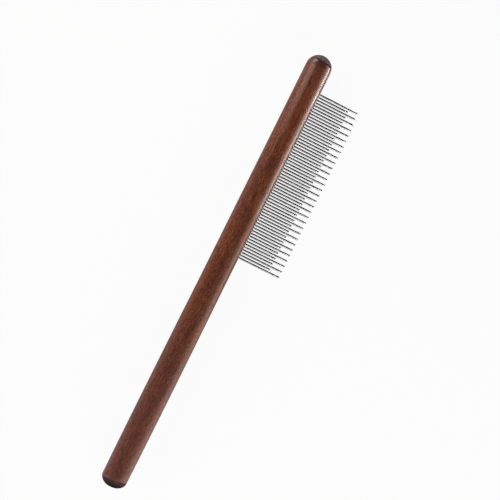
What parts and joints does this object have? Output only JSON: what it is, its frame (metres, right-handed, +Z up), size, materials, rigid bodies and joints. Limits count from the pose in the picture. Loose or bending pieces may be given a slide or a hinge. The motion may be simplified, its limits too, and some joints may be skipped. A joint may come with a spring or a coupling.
{
  "type": "grooming comb",
  "caption": "Grooming comb with a slim round stained-wood rod handle, domed at both ends, and a straight row of alternating long and short round steel pins set into its side.",
  "frame": {"origin": "centre of the bottom of the box around the whole comb as it lies at rest, below a point between the rod and the pin tips", "axes": "+X along the rod towards the comb end, +Z up from the surface the comb lies on; the pins point to -Y and slope 12 degrees below level, so that the long ones reach the surface"},
  "size_m": [0.2112, 0.0316, 0.0119],
  "materials": {
    "stained_wood": "dark reddish-brown stained hardwood under a satin clear lacquer, with darker end grain on both domes",
    "pin_steel": "polished drawn steel wire"
  },
  "bodies": {
    "root": {"handle_rod": "stained_wood", "pin_pair_comb_end": "pin_steel", "long_pin_02": "pin_steel", "short_pin_02": "pin_steel", "long_pin_03": "pin_steel", "short_pin_03": "pin_steel", "long_pin_04": "pin_steel", "short_pin_04": "pin_steel", "long_pin_05": "pin_steel", "short_pin_05": "pin_steel", "long_pin_06": "pin_steel", "short_pin_06": "pin_steel", "long_pin_07": "pin_steel", "short_pin_07": "pin_steel", "long_pin_08": "pin_steel", "short_pin_08": "pin_steel", "long_pin_09": "pin_steel", "short_pin_09": "pin_steel", "long_pin_10": "pin_steel", "short_pin_10": "pin_steel", "long_pin_11": "pin_steel", "short_pin_11": "pin_steel", "long_pin_12": "pin_steel", "short_pin_12": "pin_steel", "long_pin_13": "pin_steel", "short_pin_13": "pin_steel", "long_pin_14": "pin_steel", "short_pin_14": "pin_steel", "long_pin_15": "pin_steel", "short_pin_15": "pin_steel", "long_pin_16": "pin_steel", "short_pin_16": "pin_steel", "long_pin_17": "pin_steel", "short_pin_17": "pin_steel", "long_pin_18": "pin_steel", "short_pin_18": "pin_steel", "long_pin_19": "pin_steel", "short_pin_19": "pin_steel", "long_pin_20": "pin_steel", "short_pin_20": "pin_steel", "long_pin_21": "pin_steel", "short_pin_21": "pin_steel", "long_pin_22": "pin_steel", "short_pin_22": "pin_steel", "long_pin_23": "pin_steel", "short_pin_23": "pin_steel", "long_pin_24": "pin_steel", "short_pin_24": "pin_steel", "long_pin_25": "pin_steel", "short_pin_25": "pin_steel", "long_pin_26": "pin_steel", "short_pin_26": "pin_steel", "long_pin_27": "pin_steel", "short_pin_27": "pin_steel", "long_pin_28": "pin_steel", "short_pin_28": "pin_steel", "long_pin_29": "pin_steel", "short_pin_29": "pin_steel", "long_pin_30": "pin_steel", "pin_pair_grip_end": "pin_steel"}
  },
  "joints": []
}
